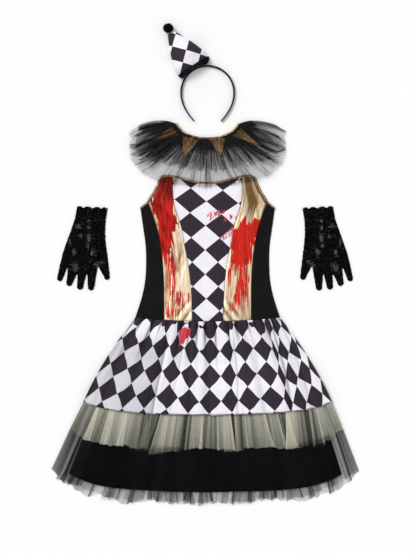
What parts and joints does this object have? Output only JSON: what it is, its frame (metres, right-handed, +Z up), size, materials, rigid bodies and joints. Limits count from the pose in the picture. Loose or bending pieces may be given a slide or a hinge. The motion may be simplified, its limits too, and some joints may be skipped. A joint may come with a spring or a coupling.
{
  "type": "clown dress costume",
  "caption": "Clown costume laid flat: sleeveless dress with a gathered tiered skirt, net neck ruff, headband with a small cone hat, and short lace gloves.",
  "frame": {"origin": "middle of the whole layout, on the surface that it lies on", "axes": "+X to the viewer's right when the front is seen from above, +Y towards the head, +Z up from the surface"},
  "size_m": [0.8082, 1.2518, 0.043],
  "materials": {
    "check": "matte satin print",
    "foil": "creased metallic foil on knit",
    "jersey": "matte",
    "lining": "matte",
    "cream": "soft open net",
    "net": "soft open net",
    "plastic": "satin",
    "pile": "fuzzy",
    "lace": "floral lace"
  },
  "bodies": {
    "root": {"bodice_front_centre": "check", "bodice_front_foil_left": "foil", "bodice_front_foil_right": "foil", "bodice_front_side_left": "jersey", "bodice_front_side_right": "jersey", "bodice_back": "jersey", "neck_binding": "foil", "armhole_binding_left": "foil", "armhole_binding_right": "foil", "underarm_binding_left": "foil", "underarm_binding_right": "foil", "skirt_check_front": "check", "skirt_check_back": "check", "skirt_cream_front": "cream", "skirt_cream_back": "cream", "skirt_net_front": "net", "skirt_net_back": "net", "skirt_lining_front": "lining", "skirt_lining_back": "lining", "ruff_long_front": "net", "ruff_long_back": "net", "ruff_short_front": "net", "ruff_short_back": "net", "neck_band_front": "foil", "neck_band_back": "foil", "ruff_point_outer_left": "foil", "ruff_point_inner_left": "foil", "ruff_point_inner_right": "foil", "ruff_point_outer_right": "foil", "headband": "plastic", "hat_cone": "check", "hat_base": "lining", "hat_pompom": "pile", "glove_left_palm": "lace", "glove_left_back": "lace", "glove_left_frill": "lace", "glove_right_palm": "lace", "glove_right_back": "lace", "glove_right_frill": "lace"}
  },
  "joints": []
}
